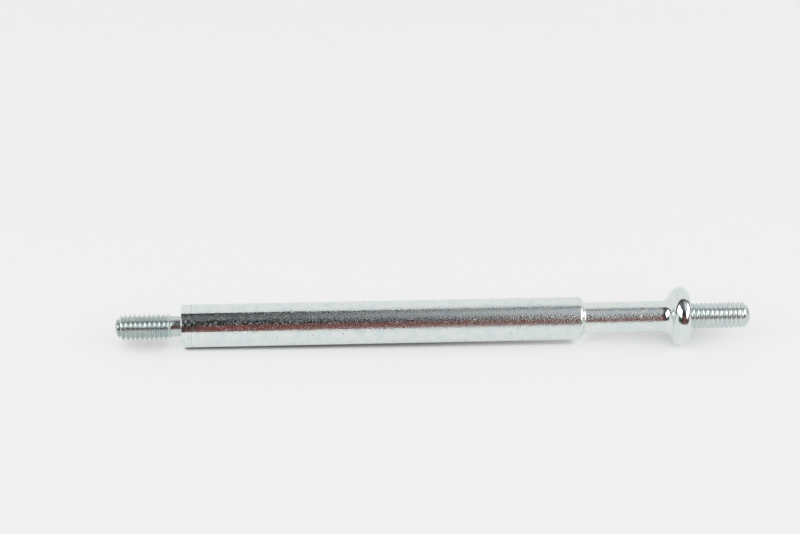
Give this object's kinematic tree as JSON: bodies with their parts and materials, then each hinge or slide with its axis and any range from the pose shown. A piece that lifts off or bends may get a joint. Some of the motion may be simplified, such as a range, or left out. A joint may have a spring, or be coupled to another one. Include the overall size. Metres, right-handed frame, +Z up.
{
  "type": "stud bolt",
  "caption": "Long shouldered stud bolt with a plain barrel, a flared round-rimmed collar and a threaded end beyond each, in bright zinc-plated steel.",
  "frame": {"origin": "centre of the bounding box's bottom face, on the surface that the lying stud rests on", "axes": "+X along the stud towards the collar's end, +Z up; the stud's own axis rises about 1 degree towards +X, because it lies on the barrel's edge and on the larger collar"},
  "size_m": [0.192, 0.018, 0.018],
  "materials": {
    "zinc_plate": "bright clear zinc plating over turned steel, glossy with a fine pebbled texture"
  },
  "bodies": {
    "root": {"stud_bolt": "zinc_plate"}
  },
  "joints": []
}
